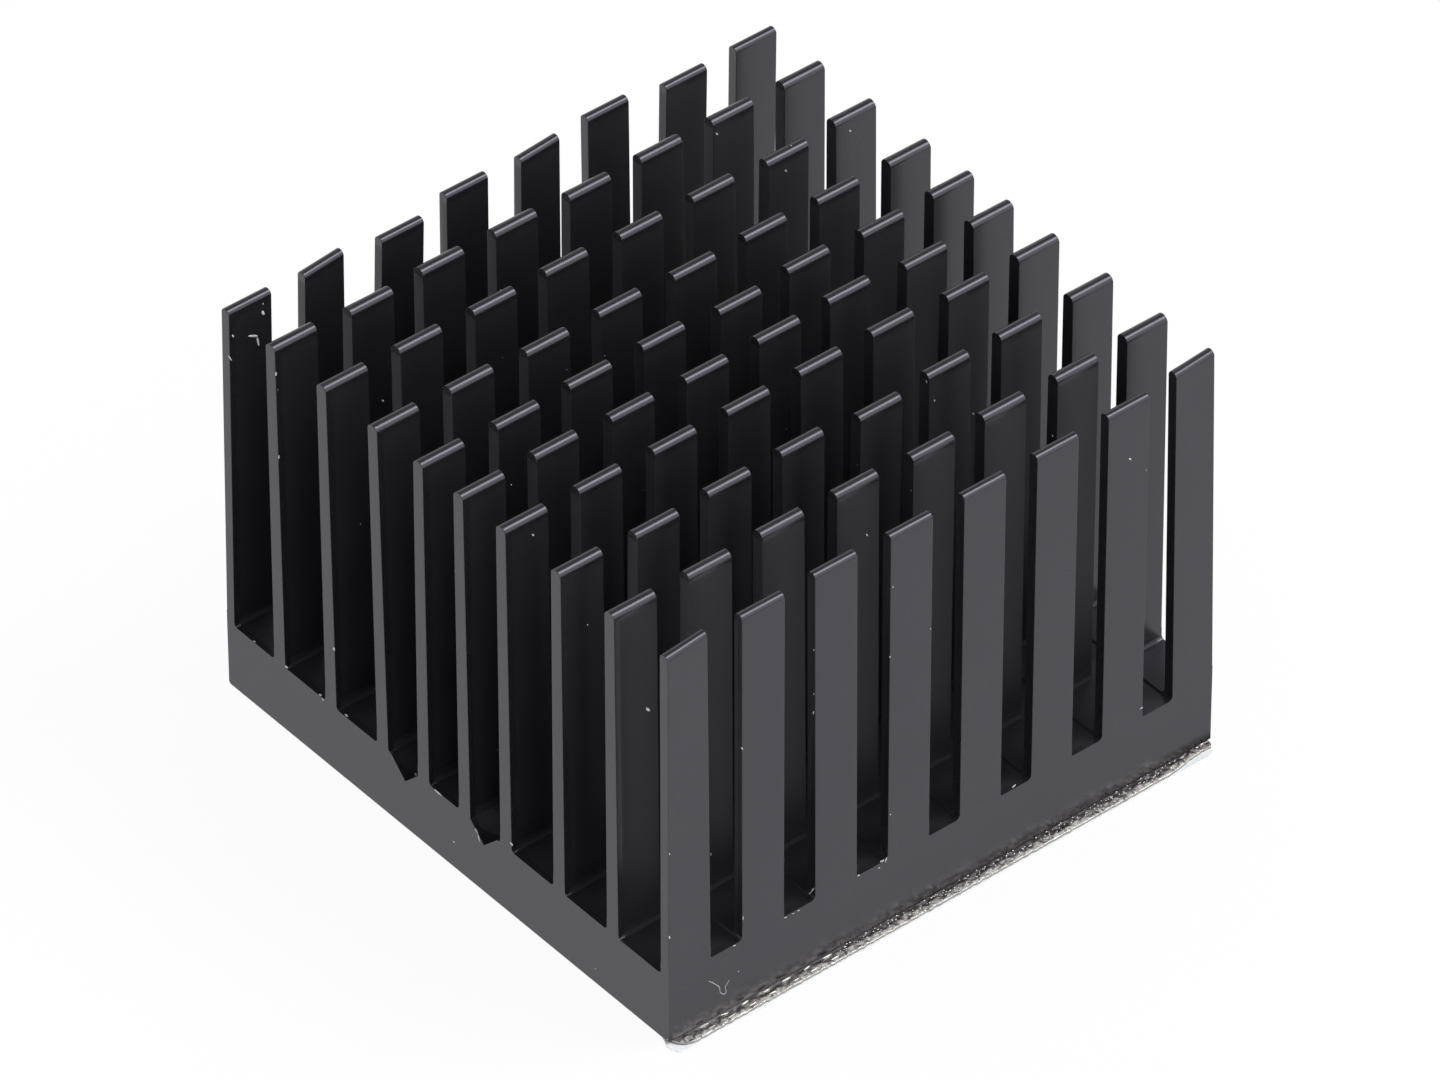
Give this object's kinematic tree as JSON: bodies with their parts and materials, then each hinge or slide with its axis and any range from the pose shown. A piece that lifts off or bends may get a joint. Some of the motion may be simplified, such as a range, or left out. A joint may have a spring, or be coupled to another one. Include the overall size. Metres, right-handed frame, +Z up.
{
  "type": "pin fin heat sink",
  "caption": "Black anodised aluminium heat sink, its extruded fins sawn across into rows of flat round-tipped pins, with clip grooves in the base and a silver adhesive tape underneath.",
  "frame": {"origin": "on the underside of the adhesive tape, at the centre of the base", "axes": "+X across the fins towards the side where the tape stands out, +Y along the extrusion, +Z up to the pin tips"},
  "size_m": [0.0439, 0.0434, 0.0308],
  "materials": {
    "black_anodise": "satin black anodise",
    "foil_tape": "crinkled foil tape with an adhesive edge"
  },
  "bodies": {
    "root": {"heat_sink": "black_anodise", "thermal_tape": "foil_tape"}
  },
  "joints": []
}
